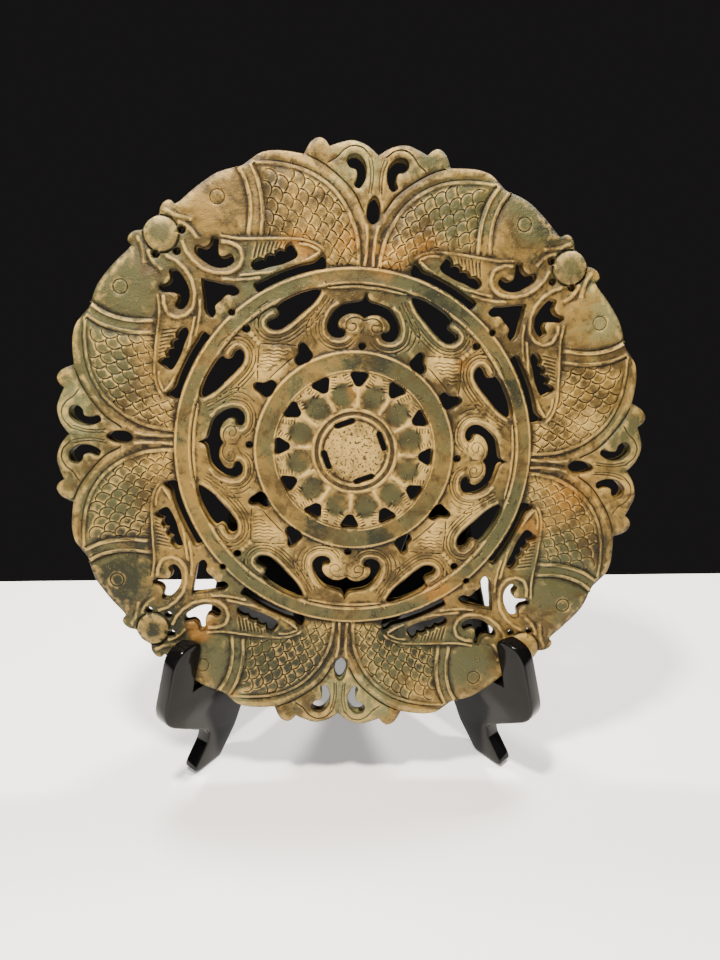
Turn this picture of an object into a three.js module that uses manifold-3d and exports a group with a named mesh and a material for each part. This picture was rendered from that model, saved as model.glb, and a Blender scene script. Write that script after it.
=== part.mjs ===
// A round openwork plate of carved green stone, standing in a two-armed black display stand.
//
// Millimetres, +Z up, +X to the viewer's right, +Y away from the viewer. The stand's soles lie on z = 0.
// The plate is one pierced slab. Its pattern is one half sector, 45 degrees wide, from a "crest axis",
// where two fish meet tail to tail, to a "pearl axis", where two fish meet at a pearl. It is drawn eight
// times, turned and mirrored. In a half sector x runs across the crest axis and y runs outwards along it,
// both as shares of the plate's radius.
import * as THREE from "three";
import { mergeVertices } from "three/addons/utils/BufferGeometryUtils.js";
import Module from "manifold-3d";

const wasm = await Module();
wasm.setup();

const RADIUS = 140; // plate centre to the top of a crest
const GROUND = 6.8; // thickness of the slab behind the relief
const LEAN = 15; // degrees the plate leans back
const TURN = -4; // degrees the pattern is turned in its own plane
const PLATE_LIFT = 31; // lowest point of the plate above the table
const OFF_CENTRE = 2; // the plate stands this far to the right of the stand's middle
const GAP = 0.3; // air between pieces that touch

// How far each kind of carving stands above the ground of the slab.
const RISE = {
  ring: 1.0,
  petal: 0.8,
  boss: 1.2,
  bossRim: 2.0,
  fan: 0.9,
  tail: 0.4,
  scaleStep: 0.4,
  gill: 2.3,
  head: 1.3,
  eye: 2.4,
  pearl: 2.6,
  rib: 0.9,
};

// Radii of the round parts, as shares of the plate's radius.
const FLOWER = { slots: 0.1, boss: 0.088, rimInner: 0.122, rimOuter: 0.147 };
const DISH_DROP = 0.5; // the dish inside the boss rim lies this far under the petals
const INNER_RING = { inner: 0.27, outer: 0.34, sides: 28 };
const OUTER_RING = { inner: 0.555, outer: 0.61, sides: 36 };
const PEARL = {
  centre: [0.667, 0.667],
  radius: 0.056,
  rimAngles: [58, 45], // degrees round the pearl where the rim's outline follows it
  tiers: [{ width: 1, height: 0.6 }, { width: 0.7, height: 1 }],
};
const PETALS = 12;
// A petal's corners, as shares of its half of the flower's turn, and its air to the rings.
const PETAL = { shoulder: 0.86, crown: 0.3, foot: 0.72, air: 0.004 };
const SIDES = { bossRim: 20, boss: 12, pearl: 10, oval: 8, eye: 6, pinhole: 5 };

// The stand: two moulded boards on edge that meet behind the plate and open towards the viewer. Along a
// board, sizes are measured back from where its middle meets the plate's front.
const ARM = {
  seatHalf: 81, // middle of the stand to the middle of a board, at the seat
  thickness: 8.6,
  splay: 40, // degrees between a board and the direction of view
  bevel: 1.3,
  fingerHeight: 26, // above the ledge
  fingerReach: 20.5, // in front of the plate, at its widest
  fingerTopReach: 8,
  hookDrop: 10, // below the ledge
  toeReach: 8, // in front of the plate
  notch: { back: 7, height: 21.5 },
  shin: { back: 4.5, height: 14.5 },
  frontFoot: 13, // back end of the front sole
  instep: { back: 25, height: 13 }, // where the front foot bends up to the arch
  arch: { height: 27, frontRun: 20, rearRun: 18 }, // the runs are how far its two ends slant
  rearFoot: 24, // length of the rear sole
  uprightHeight: 95, // above the ledge
  uprightTop: 17, // its width at the top
  shoulder: { back: 84, height: 23 }, // lowest point of the back's sweep; height above the ledge
  rearHeight: 57,
};
// How widely the corners of a board's side view are rounded.
const ROUND = {
  toe: 5, shin: 5, notch: 4, hook: 14, tip: 12, fingerBack: 9, uprightFront: 7, uprightBack: 8,
  shoulder: 40, rearSole: 3, archRear: 16, archFront: 8, instep: 12, frontSole: 5,
};
const ROUND_STEP = 32; // degrees between the points of a rounded corner
const ROUND_ROOM = 0.48; // the share of a side that a rounded corner may take up

const rad = THREE.MathUtils.degToRad;

// Half-sector outline of the rim: crest scroll, back fin, head, lip and pearl.
const RIM = [
  [0.0, 0.962], [0.04, 0.986], [0.085, 0.998], [0.125, 0.988], [0.153, 0.974], [0.17, 0.992],
  [0.192, 0.998], [0.213, 0.984], [0.232, 0.946], [0.285, 0.948], [0.342, 0.946], [0.382, 0.93],
  [0.404, 0.91], [0.44, 0.891], [0.5, 0.866], [0.55, 0.83], [0.592, 0.793], [0.624, 0.765],
  [0.645, 0.776], [0.667, 0.763], [0.682, 0.721],
];

// Openings of a half sector.
const CREST_LOOP = [
  [0.05, 0.853], [0.032, 0.89], [0.036, 0.93], [0.066, 0.957], [0.098, 0.946], [0.096, 0.917],
  [0.068, 0.903], [0.069, 0.862],
];
const MOUTH_CURL = [
  [0.485, 0.66], [0.506, 0.672], [0.52, 0.642], [0.556, 0.637], [0.557, 0.613], [0.523, 0.586],
  [0.478, 0.572], [0.439, 0.588], [0.442, 0.617], [0.478, 0.606], [0.488, 0.632],
];
const FIN_COMB = [
  [0.228, 0.628], [0.258, 0.668], [0.277, 0.64], [0.3, 0.642], [0.31, 0.624], [0.331, 0.626],
  [0.342, 0.609], [0.379, 0.597], [0.366, 0.572], [0.3, 0.593],
];
const LEAF = [
  [0.15, 0.524], [0.205, 0.518], [0.262, 0.489], [0.293, 0.461], [0.284, 0.441], [0.316, 0.413],
  [0.304, 0.388], [0.268, 0.395], [0.213, 0.443], [0.174, 0.483],
];
const SMALL_HEART = [
  [0.162, 0.313], [0.186, 0.344], [0.21, 0.35], [0.213, 0.32], [0.223, 0.289], [0.203, 0.274],
  [0.177, 0.293],
];
// Half of an opening that is symmetric about the crest axis, from the axis round to the axis again.
const BAT_HALF = [
  [0.0, 0.527], [0.014, 0.503], [0.075, 0.488], [0.108, 0.453], [0.12, 0.413], [0.105, 0.38],
  [0.078, 0.377], [0.061, 0.392], [0.087, 0.412], [0.082, 0.437], [0.05, 0.46], [0.018, 0.457],
  [0.0, 0.447],
];
// Half of an opening that is symmetric about the pearl axis, from the axis round to the axis again.
const HEART_HALF = [
  [0.536, 0.536], [0.49, 0.53], [0.43, 0.519], [0.412, 0.498], [0.428, 0.486], [0.452, 0.489],
  [0.47, 0.47],
];
const CREST_OVAL = { centre: [0, 0.79], across: 0.021, along: 0.044 };
const RING_SLIT = { inner: 0.615, outer: 0.641, from: 13.5, to: 34.5, head: 0.66, headTurn: 1.5 };
const PINHOLES = [
  { centre: [0, 0.356], radius: 0.012, side: "crest" },
  { centre: [0.384, 0.384], radius: 0.013, side: "pearl" },
  { centre: [0.433, 0.433], radius: 0.011, side: "pearl" },
  { centre: [0.616, 0.616], radius: 0.012, side: "pearl" },
  { centre: [0.603, 0.683], radius: 0.012, side: "both" },
];
const PETAL_HOLE = { halfWidth: 0.031, foot: 0.268, shoulder: 0.232, tip: 0.219 };
const SLOT = { halfLength: 0.037, halfWidth: 0.009, first: 23, count: 4 };

// Raised carving of a half sector.
const BACK_LINE = [
  [0.036, 0.617], [0.043, 0.69], [0.073, 0.769], [0.125, 0.836], [0.19, 0.878], [0.27, 0.902],
  [0.385, 0.904],
];
const GILL_LINE = [[0.362, 0.85], [0.35, 0.785], [0.348, 0.695]];
const BELLY_LINE = [[0.25, 0.688], [0.18, 0.667], [0.125, 0.618]];
const GILL_BANDS = [
  [[0.4, 0.893], [0.361, 0.815], [0.352, 0.695]],
  [[0.44, 0.884], [0.4, 0.812], [0.392, 0.695]],
];
const HEAD = [
  [0.41, 0.695], [0.412, 0.79], [0.458, 0.87], [0.51, 0.846], [0.562, 0.804], [0.612, 0.752],
  [0.56, 0.704], [0.48, 0.689],
];
const EYE = { centre: [0.494, 0.79], radius: 0.021 };
const FAN = [[0.226, 0.336], [0.235, 0.308], [0.262, 0.282]]; // half of it, to the pearl axis at the foot
const FAN_NECK = 0.337;
// A rib from under the pearl, round the mouth and along the fin.
const FIN_RIB = [[0.6, 0.645], [0.56, 0.595], [0.48, 0.552], [0.4, 0.55], [0.3, 0.577], [0.22, 0.607]];
const FIN_RIB_WIDTH = 0.012;
const GILL_WIDTH = 0.013;
const RIB_END = 0.45; // a rib's ends are this much of its width
const SCALES = {
  firstRow: 0.655, rowPitch: 0.06, rows: 5, firstAngle: 4, anglePitch: 5.4, steps: 4,
  corner: 0.4, // how far back a scale's corners lie, in scales
  flat: 0.22, // half the width of a scale's round end, in rows
  lastAngle: 40, // past the gill
};

// Turns a half sector's points into a full-size polygon in the plate's plane. sector is 0 to 7: odd
// sectors are mirrored.
function place(points, sector) {
  const side = sector % 2 ? -1 : 1;
  const angle = rad(TURN + 90 * Math.floor(sector / 2));
  const cos = Math.cos(angle);
  const sin = Math.sin(angle);
  return points.map(([x, y]) => {
    const across = side * x * RADIUS;
    const out = y * RADIUS;
    return new THREE.Vector2(cos * across - sin * out, sin * across + cos * out);
  });
}

const EVERY = [0, 1, 2, 3, 4, 5, 6, 7];
const ONE_PER_AXIS = [0, 2, 4, 6];
const MIDDLE = [0, 0];
const overCrestAxis = (points) => points.map(([x, y]) => [-x, y]);
const overPearlAxis = (points) => points.map(([x, y]) => [y, x]);

function ellipse([x, y], across, along, sides) {
  return Array.from({ length: sides }, (_, i) => {
    const a = (2 * Math.PI * (i + 0.5)) / sides;
    return [x + across * Math.cos(a), y + along * Math.sin(a)];
  });
}

// The two edges of a rib of constant width that follows a course, as one closed polygon.
function rib(course, width) {
  const edge = course.map(([x, y], i) => {
    const [ax, ay] = course[Math.max(i - 1, 0)];
    const [bx, by] = course[Math.min(i + 1, course.length - 1)];
    const length = Math.hypot(bx - ax, by - ay);
    const taper = i === 0 || i === course.length - 1 ? RIB_END : 1;
    const nx = (-(by - ay) / length) * (width / 2) * taper;
    const ny = ((bx - ax) / length) * (width / 2) * taper;
    return [[x + nx, y + ny], [x - nx, y - ny]];
  });
  return [...edge.map((e) => e[0]), ...edge.map((e) => e[1]).reverse()];
}

// A closed mesh as a solid for joining and cutting.
function solidOf(geometry) {
  const bare = geometry.index ? geometry.toNonIndexed() : geometry.clone();
  bare.deleteAttribute("normal");
  bare.deleteAttribute("uv");
  const merged = mergeVertices(bare, 1e-4);
  return new wasm.Manifold(new wasm.Mesh({
    numProp: 3,
    vertProperties: new Float32Array(merged.attributes.position.array),
    triVerts: new Uint32Array(merged.index.array),
  }));
}

function shapeOf(polygon) {
  return new THREE.Shape(THREE.ShapeUtils.area(polygon) < 0 ? [...polygon].reverse() : polygon);
}

// A straight prism on a polygon of Vector2, between two heights.
function prismGeometry(polygon, low, high) {
  const geometry = new THREE.ExtrudeGeometry(shapeOf(polygon), { depth: high - low, bevelEnabled: false });
  return geometry.translate(0, 0, low);
}

const prism = (polygon, low, high) => solidOf(prismGeometry(polygon, low, high));

// The same prism in each of the named sectors.
const prisms = (points, sectors, low, high) => sectors.map((s) => prism(place(points, s), low, high));

// The same prism turned about the plate's middle to each of the named angles, in degrees.
function prismsRound(points, angles, low, high) {
  const middle = new THREE.Vector2();
  return angles.map((degrees) =>
    prism(place(points, 0).map((p) => p.rotateAround(middle, rad(degrees))), low, high));
}

function disc(share, low, high, sides) {
  return prism(place(ellipse(MIDDLE, share, share, sides), 0), low, high);
}

function annulus({ inner, outer, sides }, low, high) {
  return disc(outer, low, high, sides).subtract(disc(inner, low - 1, high + 1, sides));
}

const evenly = (count, first) => Array.from({ length: count }, (_, i) => first + (360 / count) * i);

const BELOW = -1; // cutters start under the back face
const ABOVE = GROUND + 6; // and end over the highest carving
const SUNK = GROUND - 2; // raised pieces are rooted inside the slab
const raised = (rise) => GROUND + rise;
const joined = (parts) => parts.reduce((sum, part) => sum.add(part));

// Rim outline of the whole plate, walked once round: each odd sector runs from pearl to crest.
function rimOutline() {
  const [cx, cy] = PEARL.centre;
  const arc = PEARL.rimAngles.map((deg) => [
    cx + PEARL.radius * Math.cos(rad(deg)), cy + PEARL.radius * Math.sin(rad(deg))]);
  const half = [...RIM, ...arc];
  const whole = [];
  for (const axis of [0, 3, 2, 1]) { // clockwise round the plate
    whole.push(...place(half.slice(1).reverse(), 2 * axis + 1).slice(1));
    whole.push(...place(half, 2 * axis));
  }
  return whole;
}

// A half sector's point at a radius and an angle from the crest axis.
const at = (radius, deg) => [radius * Math.sin(rad(deg)), radius * Math.cos(rad(deg))];

function slitOutline() {
  const steps = 3;
  const angles = Array.from({ length: steps + 1 }, (_, i) =>
    RING_SLIT.from + ((RING_SLIT.to - RING_SLIT.from) * i) / steps);
  const inner = angles.map((a) => at(RING_SLIT.inner, a));
  const outer = angles.slice(1).reverse().map((a) => at(RING_SLIT.outer, a));
  return [...inner, ...outer, at(RING_SLIT.head, RING_SLIT.from + RING_SLIT.headTurn)];
}

function openings() {
  const bat = [...BAT_HALF, ...overCrestAxis(BAT_HALF.slice(1, -1)).reverse()];
  const heart = [...HEART_HALF, ...overPearlAxis(HEART_HALF.slice(1, -1)).reverse()];
  const oval = ellipse(CREST_OVAL.centre, CREST_OVAL.across, CREST_OVAL.along, SIDES.oval);
  const cut = (points, sectors) => prisms(points, sectors, BELOW, ABOVE);
  const pinholes = PINHOLES.flatMap(({ centre, radius, side }) =>
    cut(ellipse(centre, radius, radius, SIDES.pinhole), side === "both" ? EVERY : ONE_PER_AXIS));
  const { halfWidth, foot, tip, shoulder } = PETAL_HOLE;
  const wedge = [
    [-halfWidth, foot], [halfWidth, foot], [halfWidth / 2, shoulder], [0, tip], [-halfWidth / 2, shoulder]];
  const petalHoles = prismsRound(wedge, evenly(PETALS, 0), BELOW, ABOVE);
  const [low, high] = [FLOWER.slots - SLOT.halfWidth, FLOWER.slots + SLOT.halfWidth];
  const end = SLOT.halfLength;
  const bar = [[-end, low], [end, low], [end, high], [-end, high]];
  const slots = prismsRound(bar, evenly(SLOT.count, SLOT.first), BELOW, ABOVE);
  return [
    ...cut(CREST_LOOP, EVERY),
    ...cut(MOUTH_CURL, EVERY),
    ...cut(FIN_COMB, EVERY),
    ...cut(LEAF, EVERY),
    ...cut(SMALL_HEART, EVERY),
    ...cut(slitOutline(), EVERY),
    ...cut(bat, ONE_PER_AXIS),
    ...cut(heart, ONE_PER_AXIS),
    ...cut(oval, ONE_PER_AXIS),
    ...pinholes, ...petalHoles, ...slots,
  ];
}

// The flower: petals between the wedge holes, round a boss with a raised rim.
function flower() {
  const half = 180 / PETALS;
  const { shoulder, crown, foot, air } = PETAL;
  const tip = [-shoulder, -crown, crown, shoulder].map((f) => at(INNER_RING.inner - air, f * half));
  const valley = [foot, -foot].map((f) => at(FLOWER.rimOuter + air, f * half));
  const petals = prismsRound([...tip, ...valley], evenly(PETALS, half), SUNK, raised(RISE.petal));
  const rim = disc(FLOWER.rimOuter, SUNK, raised(RISE.bossRim), SIDES.bossRim)
    .subtract(disc(FLOWER.rimInner, raised(RISE.petal) - DISH_DROP, ABOVE, SIDES.bossRim));
  const boss = disc(FLOWER.boss, SUNK, raised(RISE.boss), SIDES.boss);
  return [...petals, rim, boss];
}

// A scaled body: steps that rise towards the head, each ending in a row of round scale edges.
function body(sector) {
  const edge = place([...BACK_LINE, ...GILL_LINE, ...BELLY_LINE], sector);
  const parts = [prism(edge, SUNK, raised(RISE.tail))];
  const { firstRow, rowPitch, rows, firstAngle, anglePitch, steps, corner, flat, lastAngle } = SCALES;
  for (let step = 1; step <= steps; step++) {
    const line = [];
    for (let row = 0; row < rows; row++) {
      const radius = firstRow + row * rowPitch;
      const angle = firstAngle + (step - (row % 2) / 2) * anglePitch; // every other row is half a scale on
      line.push(at(radius - rowPitch / 2, angle + anglePitch * corner));
      line.push(at(radius - rowPitch * flat, angle));
      line.push(at(radius + rowPitch * flat, angle));
    }
    line.push(at(firstRow + (rows - 0.5) * rowPitch, firstAngle + step * anglePitch));
    const headSide = [at(1, lastAngle), at(OUTER_RING.inner, lastAngle)];
    const cutter = prism(place([...line, ...headSide], sector), SUNK - 1, ABOVE);
    const layer = prism(edge, SUNK, raised(RISE.tail + step * RISE.scaleStep));
    parts.push(layer.intersect(cutter));
  }
  return joined(parts);
}

function fish() {
  const parts = EVERY.map(body);
  for (const band of GILL_BANDS) {
    parts.push(...prisms(rib(band, GILL_WIDTH), EVERY, SUNK, raised(RISE.gill)));
  }
  parts.push(...prisms(HEAD, EVERY, SUNK, raised(RISE.head)));
  const eye = ellipse(EYE.centre, EYE.radius, EYE.radius, SIDES.eye);
  parts.push(...prisms(eye, EVERY, SUNK, raised(RISE.eye)));
  return parts;
}

// A pearl is a wide disc with a narrower one on it.
function pearls() {
  return PEARL.tiers.flatMap(({ width, height }) =>
    prisms(ellipse(PEARL.centre, PEARL.radius * width, PEARL.radius * width, SIDES.pearl), ONE_PER_AXIS,
      SUNK, raised(RISE.pearl * height)));
}

function fans() {
  const half = [[FAN_NECK, FAN_NECK], ...FAN];
  const whole = [...half, ...overPearlAxis(FAN).reverse()];
  return prisms(whole, ONE_PER_AXIS, SUNK, raised(RISE.fan));
}

function carvedPlate() {
  const slab = prism(rimOutline(), 0, GROUND);
  const carving = [
    annulus(OUTER_RING, SUNK, raised(RISE.ring)),
    annulus(INNER_RING, SUNK, raised(RISE.ring)),
    ...flower(), ...fish(), ...pearls(), ...fans(),
    ...prisms(rib(FIN_RIB, FIN_RIB_WIDTH), EVERY, SUNK, raised(RISE.rib)),
  ];
  let plate = joined([slab, ...carving]);
  for (const hole of openings()) plate = plate.subtract(hole);
  return plate;
}

function geometryOf(solid) {
  const mesh = solid.getMesh();
  return new THREE.BufferGeometry()
    .setAttribute("position", new THREE.BufferAttribute(mesh.vertProperties, mesh.numProp))
    .setIndex(new THREE.BufferAttribute(mesh.triVerts, 1))
    .toNonIndexed();
}

// Lowest y of the plate's outline between two places across it.
function rimBottom(from, to) {
  const outline = rimOutline();
  let lowest = 0;
  outline.forEach((a, i) => {
    const b = outline[(i + 1) % outline.length];
    for (const x of [from, to]) {
      if ((a.x - x) * (b.x - x) <= 0 && a.x !== b.x) {
        lowest = Math.min(lowest, a.y + ((b.y - a.y) * (x - a.x)) / (b.x - a.x));
      }
    }
    if (a.x > from && a.x < to) lowest = Math.min(lowest, a.y);
  });
  return lowest;
}

// A polygon whose corners [x, y, radius] are rounded by arcs, as far as their neighbours leave room.
function roundedPolygon(corners) {
  const points = [];
  corners.forEach(([x, y, radius], i) => {
    const corner = new THREE.Vector2(x, y);
    const towards = (j) => {
      const [nx, ny] = corners[(j + corners.length) % corners.length];
      return new THREE.Vector2(nx - x, ny - y);
    };
    const before = towards(i - 1);
    const after = towards(i + 1);
    const half = Math.abs(Math.PI - Math.abs(before.angleTo(after))) / 2;
    const room = ROUND_ROOM * Math.min(before.length(), after.length());
    const reach = Math.min(radius * Math.tan(half), room);
    const start = corner.clone().addScaledVector(before.normalize(), reach);
    const end = corner.clone().addScaledVector(after.normalize(), reach);
    const steps = radius > 0 ? Math.max(2, Math.round((half * 2) / rad(ROUND_STEP))) : 0;
    if (steps === 0) points.push(corner);
    else new THREE.QuadraticBezierCurve(start, corner, end).getPoints(steps).forEach((p) => points.push(p));
  });
  return points;
}

// Side view of a board: x runs back along it from the plate's front, y is the height above the table.
function armProfile(ledge, plateDepth, slope, length) {
  const a = ARM;
  const fingerTop = ledge + a.fingerHeight;
  const uprightTop = ledge + a.uprightHeight;
  const uprightFront = plateDepth + slope * a.uprightHeight;
  return roundedPolygon([
    [-a.toeReach, 0, ROUND.toe],
    [a.shin.back, a.shin.height, ROUND.shin],
    [a.notch.back, a.notch.height, ROUND.notch],
    [-a.fingerReach, ledge - a.hookDrop, ROUND.hook],
    [-a.fingerTopReach, fingerTop, ROUND.tip],
    [slope * a.fingerHeight, fingerTop, ROUND.fingerBack],
    [0, ledge, 0],
    [plateDepth, ledge, 0],
    [uprightFront, uprightTop, ROUND.uprightFront],
    [uprightFront + a.uprightTop, uprightTop, ROUND.uprightBack],
    [a.shoulder.back, ledge + a.shoulder.height, ROUND.shoulder],
    [length, a.rearHeight, 0],
    [length, 0, 0],
    [length - a.rearFoot, 0, ROUND.rearSole],
    [length - a.rearFoot - a.arch.rearRun, a.arch.height, ROUND.archRear],
    [a.frontFoot + a.arch.frontRun, a.arch.height, ROUND.archFront],
    [a.instep.back, a.instep.height, ROUND.instep],
    [a.frontFoot, 0, ROUND.frontSole],
  ]);
}

// One board, in a frame of its own: x back along the board, z up, the origin under its seat.
function armParts(side, plateMatrix) {
  const { thickness, bevel } = ARM;
  const splay = rad(ARM.splay);
  const lean = rad(LEAN);
  const inner = ARM.seatHalf - thickness / 2 / Math.cos(splay);
  const outer = ARM.seatHalf + thickness / 2 / Math.cos(splay);
  const ends = side < 0 ? [-outer, -inner] : [inner, outer];
  const upFromLowest = RADIUS + rimBottom(...ends.map((x) => x - OFF_CENTRE));
  const ledge = PLATE_LIFT + upFromLowest * Math.cos(lean) - GAP;
  const seat = new THREE.Vector3(
    side * ARM.seatHalf, upFromLowest * Math.sin(lean) - GROUND * Math.cos(lean), 0);
  const slope = Math.tan(lean) / Math.cos(splay);
  const plateDepth = GROUND / Math.cos(lean) / Math.cos(splay);
  const length = ARM.seatHalf / Math.sin(splay);
  const pastMiddle = thickness / Math.tan(splay); // enough for the mitre

  const profile = armProfile(ledge, plateDepth, slope, length + pastMiddle);
  const board = new THREE.ExtrudeGeometry(shapeOf(profile), {
    depth: thickness - 2 * bevel, bevelThickness: bevel, bevelSize: bevel, bevelOffset: -bevel,
    bevelSegments: 1,
  });
  board.translate(0, 0, bevel - thickness / 2).rotateX(Math.PI / 2);

  const frame = new THREE.Object3D();
  frame.position.copy(seat);
  frame.rotation.z = Math.PI / 2 + side * splay;
  frame.updateMatrix();
  const toArm = frame.matrix.clone().invert();
  const reliefTop = GROUND + RISE.eye;
  const room = prismGeometry(rimOutline().map((p) => p.multiplyScalar((RADIUS + GAP) / RADIUS)),
    -GAP, reliefTop + GAP);
  const otherSide = new THREE.BoxGeometry(4 * RADIUS, 4 * RADIUS, 4 * RADIUS);
  otherSide.translate(-side * (2 * RADIUS - GAP / 2), 0, 0);
  const solid = solidOf(board)
    .subtract(solidOf(room.applyMatrix4(plateMatrix).applyMatrix4(toArm)))
    .subtract(solidOf(otherSide.applyMatrix4(toArm)));
  return { solid, frame };
}

const whole = new THREE.Group();

const stone = new THREE.MeshStandardMaterial({ color: 0x8f8356, roughness: 0.6, metalness: 0 });
const plate = new THREE.Mesh(geometryOf(carvedPlate()), stone);
plate.name = "jade_plate";
const leaning = new THREE.Group();
leaning.rotation.x = rad(90 - LEAN);
leaning.position.set(
  OFF_CENTRE, RADIUS * Math.sin(rad(LEAN)), PLATE_LIFT + RADIUS * Math.cos(rad(LEAN)));
leaning.add(plate);
leaning.updateMatrix();
whole.add(leaning);

const black = new THREE.MeshStandardMaterial({ color: 0x0b0b0c, roughness: 0.16, metalness: 0 });
for (const [name, side] of [["stand_arm_left", -1], ["stand_arm_right", 1]]) {
  const { solid, frame } = armParts(side, leaning.matrix);
  const arm = new THREE.Mesh(geometryOf(solid), black);
  arm.name = name;
  arm.position.copy(frame.position);
  arm.rotation.copy(frame.rotation);
  whole.add(arm);
}

// The origin is the middle of the object's footprint, on the table.
whole.updateMatrixWorld(true);
const box = new THREE.Box3().setFromObject(whole, true);
whole.position.set(-(box.min.x + box.max.x) / 2, -(box.min.y + box.max.y) / 2, -box.min.z);

export default whole;
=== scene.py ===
import math

import bmesh
import bpy
import numpy as np
from mathutils import Matrix, Vector, kdtree
from mathutils.geometry import delaunay_2d_cdt


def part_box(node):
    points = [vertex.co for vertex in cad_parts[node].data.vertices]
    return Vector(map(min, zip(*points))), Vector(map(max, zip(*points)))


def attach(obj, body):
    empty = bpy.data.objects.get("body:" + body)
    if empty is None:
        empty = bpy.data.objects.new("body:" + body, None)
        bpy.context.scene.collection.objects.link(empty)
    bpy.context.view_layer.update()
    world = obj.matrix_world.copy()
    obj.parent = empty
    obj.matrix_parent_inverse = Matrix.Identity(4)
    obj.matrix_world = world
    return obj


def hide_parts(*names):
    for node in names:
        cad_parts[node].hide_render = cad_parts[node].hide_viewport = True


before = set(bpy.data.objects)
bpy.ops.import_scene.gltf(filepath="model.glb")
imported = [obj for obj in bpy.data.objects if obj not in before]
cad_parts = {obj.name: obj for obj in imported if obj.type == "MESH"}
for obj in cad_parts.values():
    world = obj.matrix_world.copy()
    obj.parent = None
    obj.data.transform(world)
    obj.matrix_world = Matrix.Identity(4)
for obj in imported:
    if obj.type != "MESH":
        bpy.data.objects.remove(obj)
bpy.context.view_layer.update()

# Sizes in metres, as the solids have them.
MM = 0.001
RADIUS = 0.140  # middle of the plate to the top of a crest
GROUND = 0.0068  # thickness of the slab behind the relief
LEAN = math.radians(15)
TURN = math.radians(-4)
LIFT = 0.031  # lowest point of the plate's circle above the floor
GAP = 0.0003  # between the plate and the stand
JOINT_GAP = 0.00006  # between the two boards where they are joined
RELIEF_TOP = 0.0024  # highest carving above the ground
OFF_CENTRE = 0.002  # the plate stands this far to the right of the stand's middle
ARM = {
    "seat_half": 0.081, "thickness": 0.0086, "splay": math.radians(40), "bevel": 0.0013,
    "finger_height": 0.026, "finger_reach": 0.0205, "finger_top_reach": 0.008, "hook_drop": 0.010,
    "toe_reach": 0.008, "notch": (0.007, 0.0215), "shin": (0.0045, 0.0145), "front_foot": 0.013,
    "instep": (0.025, 0.013), "arch_height": 0.027, "arch_front": 0.020, "arch_rear": 0.018,
    "rear_foot": 0.024, "upright_height": 0.095, "upright_top": 0.017, "shoulder": (0.084, 0.023),
    "rear_height": 0.057,
}

# The plate's pattern is one half sector, 45 degrees wide, from a crest axis to a pearl axis, drawn eight
# times. In it x runs across the crest axis and y out along it. The points of curves are in thousandths of
# RADIUS, and a third value marks a sharp corner. Other places and sizes are shares of RADIUS.
PER_RADIUS = 1000
RIM = [
    (0, 959, 1), (12, 968), (40, 987), (85, 998), (125, 987), (155, 973, 1), (168, 989), (187, 998),
    (210, 987), (226, 962), (234, 943, 1), (280, 947), (330, 946), (370, 935), (400, 912), (422, 893, 1),
    (460, 881), (500, 865), (540, 837), (580, 803), (615, 769), (627, 762, 1), (641, 774), (658, 769),
    (672, 750), (676, 727, 1), (694, 717), (707.6, 707.6),
]
CREST_LOOP = [
    (52, 853), (34, 888), (38, 928), (64, 956), (92, 951), (98, 930), (86, 914), (66, 908), (62, 885),
    (69, 862),
]
MOUTH_CURL = [
    (487, 660), (503, 671), (513, 646), (530, 634), (556, 638), (559, 618), (532, 592), (492, 574),
    (455, 578), (434, 598), (446, 618), (467, 608), (483, 612), (487, 635),
]
FIN_COMB = [
    (234, 628), (243, 650), (259, 668), (272, 657), (276, 642, 1), (288, 646), (302, 641), (308, 626, 1),
    (320, 629), (333, 624), (339, 611, 1), (352, 613), (371, 603), (379, 588), (365, 573), (320, 586),
    (272, 602),
]
LEAF = [
    (150, 524), (158, 531), (195, 524), (240, 504), (280, 479), (293, 462), (283, 446), (290, 432),
    (312, 419), (318, 404), (305, 389), (278, 388), (248, 408), (208, 446), (173, 481),
]
SMALL_HEART = [
    (162, 313), (176, 332), (187, 346), (200, 352), (211, 341), (210, 319), (222, 293), (209, 276),
    (188, 283), (168, 297),
]
# Openings that are symmetric about the crest axis, or about the pearl axis, from the axis round to it.
BAT_HALF = [
    (0, 527, 1), (12, 506), (40, 498), (75, 487), (100, 463), (117, 431), (120, 402), (105, 381),
    (80, 376), (61, 388), (64, 403), (83, 409), (87, 425), (75, 444), (47, 459), (17, 457), (0, 447, 1),
]
OVAL_HALF = [(0, 834), (12, 824), (21, 795), (17, 762), (0, 747)]
CREST_PIN_HALF = [(0, 367), (10, 363), (12, 354), (8, 345), (0, 342)]
PETAL_HOLE_HALF = [(0, 269), (27, 267), (31, 258), (21, 238), (9, 222), (0, 219)]
HEART_HALF = [
    (536, 536, 1), (515, 534), (470, 526), (430, 519), (412, 499), (428, 487), (450, 490), (462, 480),
    (470, 470, 1),
]
PEARL = (0.667, 0.667)
PEARL_RADIUS = 0.056
EYE = (0.494, 0.79)
EYE_RADIUS = 0.023
MIDDLE = (0.0, 0.0)
PINHOLES = [((0.603, 0.683), 0.0115)]
PEARL_PINHOLES = [((0.384, 0.384), 0.0125), ((0.433, 0.433), 0.0105), ((0.616, 0.616), 0.0115)]
RING_SLIT = {"inner": 614, "outer": 642, "from": 13.2, "to": 34.8, "head": (152, 640), "step": 30}
SLOT = {"radius": 0.1, "half_length": 0.037, "half_width": 0.0095, "first": 23, "count": 4}
OUTER_RING = (0.555, 0.61)
INNER_RING = (0.268, 0.34)
BOSS_RINGS = (0.141, 0.117)
DISH = 0.106
PETALS = 12
PETAL_TURN = math.radians(360 / PETALS)

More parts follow.
